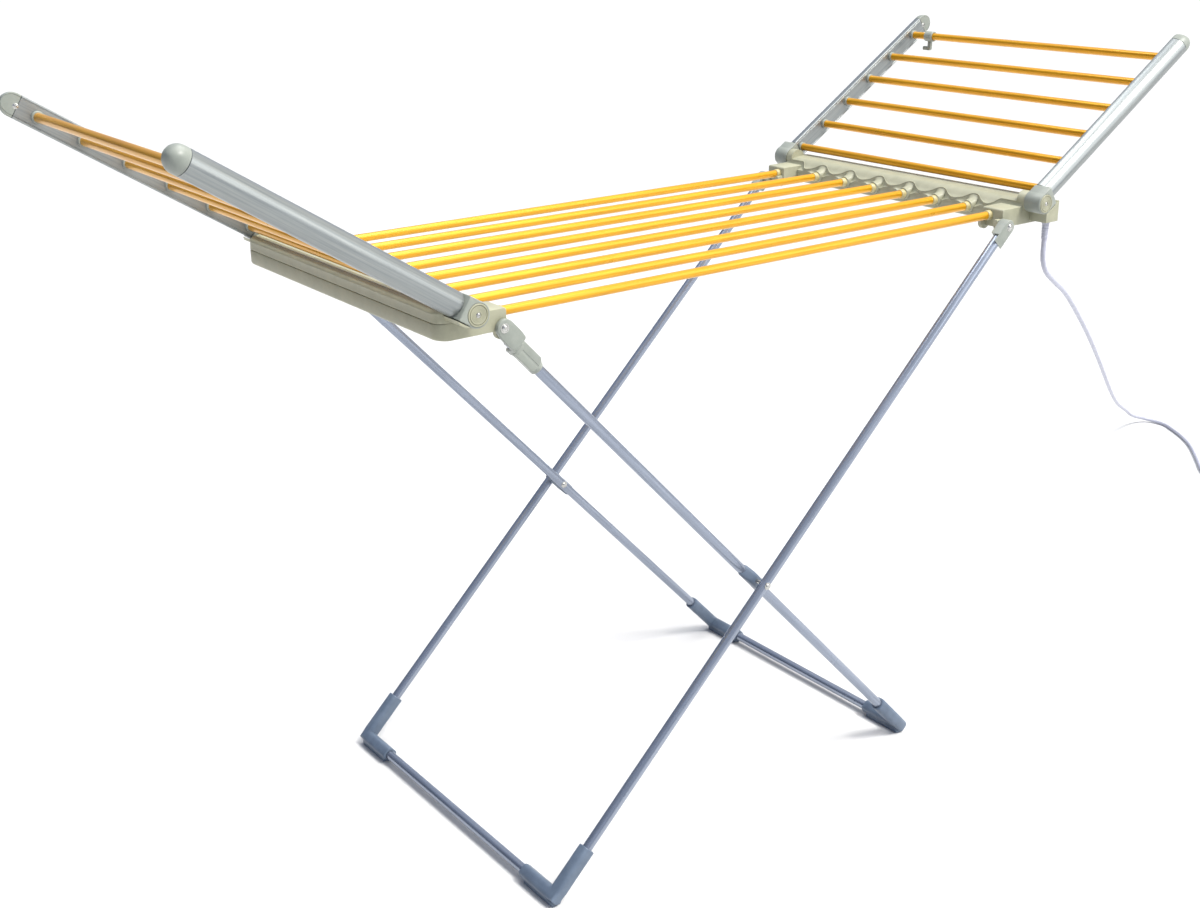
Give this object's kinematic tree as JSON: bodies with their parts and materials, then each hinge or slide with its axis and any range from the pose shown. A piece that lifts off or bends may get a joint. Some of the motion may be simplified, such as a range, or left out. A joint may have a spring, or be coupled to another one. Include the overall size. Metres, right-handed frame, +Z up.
{
  "type": "heated clothes airer",
  "caption": "Folding heated clothes airer: round bars between plastic end housings, a hinged barred wing at each end, crossed folding tube legs, and a mains cord.",
  "frame": {"origin": "on the floor, under the middle of the airer without its cord", "axes": "+X along the airer towards the cord's end, +Y across it, +Z up"},
  "size_m": [2.5183, 0.6659, 0.973],
  "materials": {
    "heated_bar": "golden yellow anodised look, satin",
    "wing_rail": "satin silver extrusion",
    "housing_plastic": "mid grey moulded plastic",
    "wing_plastic": "mid grey moulded plastic",
    "leg_tube": "silver blue-grey paint",
    "foot_plastic": "blue-grey moulded plastic",
    "rivet": "plain steel",
    "cord": "white flex",
    "plug": "white moulded plug"
  },
  "bodies": {
    "deck": {"left_housing_cover": "housing_plastic", "left_housing_tray": "housing_plastic", "right_housing_cover": "housing_plastic", "right_housing_tray": "housing_plastic", "deck_bar_1": "heated_bar", "deck_bar_2": "heated_bar", "deck_bar_3": "heated_bar", "deck_bar_4": "heated_bar", "deck_bar_5": "heated_bar", "deck_bar_6": "heated_bar", "deck_bar_7": "heated_bar", "deck_bar_8": "heated_bar", "left_hinge_pin_near": "wing_plastic", "left_hinge_pin_far": "wing_plastic", "right_hinge_pin_near": "wing_plastic", "right_hinge_pin_far": "wing_plastic", "strain_relief": "cord", "mains_cord": "cord", "mains_plug": "plug"},
    "left_wing": {"left_wing_rail_near": "wing_rail", "left_wing_knuckle_near": "wing_plastic", "left_wing_tip_cap_near": "wing_plastic", "left_wing_rail_far": "wing_rail", "left_wing_knuckle_far": "wing_plastic", "left_wing_tip_cap_far": "wing_plastic", "left_wing_bar_1": "heated_bar", "left_wing_bar_2": "heated_bar", "left_wing_bar_3": "heated_bar", "left_wing_bar_4": "heated_bar", "left_wing_bar_5": "heated_bar", "left_wing_bar_6": "heated_bar"},
    "right_wing": {"right_wing_rail_near": "wing_rail", "right_wing_knuckle_near": "wing_plastic", "right_wing_tip_cap_near": "wing_plastic", "right_wing_rail_far": "wing_rail", "right_wing_knuckle_far": "wing_plastic", "right_wing_tip_cap_far": "wing_plastic", "right_wing_bar_1": "heated_bar", "right_wing_bar_2": "heated_bar", "right_wing_bar_3": "heated_bar", "right_wing_bar_4": "heated_bar", "right_wing_bar_5": "heated_bar", "right_wing_bar_6": "heated_bar"},
    "catch": {"wing_catch": "wing_plastic"},
    "legs_b": {"legs_b_tube_near": "leg_tube", "legs_b_elbow_near": "foot_plastic", "legs_b_top_near": "wing_plastic", "legs_b_tube_far": "leg_tube", "legs_b_elbow_far": "foot_plastic", "legs_b_top_far": "wing_plastic", "legs_b_foot_tube": "leg_tube", "crossing_rivet_near": "rivet", "crossing_rivet_far": "rivet"},
    "legs_a": {"legs_a_tube_near": "leg_tube", "legs_a_elbow_near": "foot_plastic", "legs_a_top_near": "wing_plastic", "legs_a_tube_far": "leg_tube", "legs_a_elbow_far": "foot_plastic", "legs_a_top_far": "wing_plastic", "legs_a_foot_tube": "leg_tube"}
  },
  "joints": [
    {"name": "left_wing_hinge", "type": "hinge", "parent": "deck", "child": "left_wing", "pos_m": [-0.4505, 0, 0.7716], "axis": [0, 1, 0], "range_deg": [0, 147.2]},
    {"name": "right_wing_hinge", "type": "hinge", "parent": "deck", "child": "right_wing", "pos_m": [0.4505, 0, 0.7716], "axis": [0, -1, 0], "range_deg": [0, 147.2]},
    {"name": "catch_swivel", "type": "hinge", "parent": "right_wing", "child": "catch", "pos_m": [0.7162, 0.199, 0.94283], "axis": [0, 1, 0], "range_deg": [-60, 60]},
    {"name": "legs_fold", "type": "hinge", "parent": "deck", "child": "legs_b", "pos_m": [0.396, 0, 0.745], "axis": [0, 1, 0], "range_deg": [0, 40]},
    {"name": "legs_cross", "type": "hinge", "parent": "legs_b", "child": "legs_a", "pos_m": [-0.02492, 0, 0.33769], "axis": [0, 1, 0], "range_deg": [-86, 0]}
  ],
  "couplings": [
    {"joint": "legs_cross", "follows": "legs_fold", "ratio": -2.1075}
  ]
}
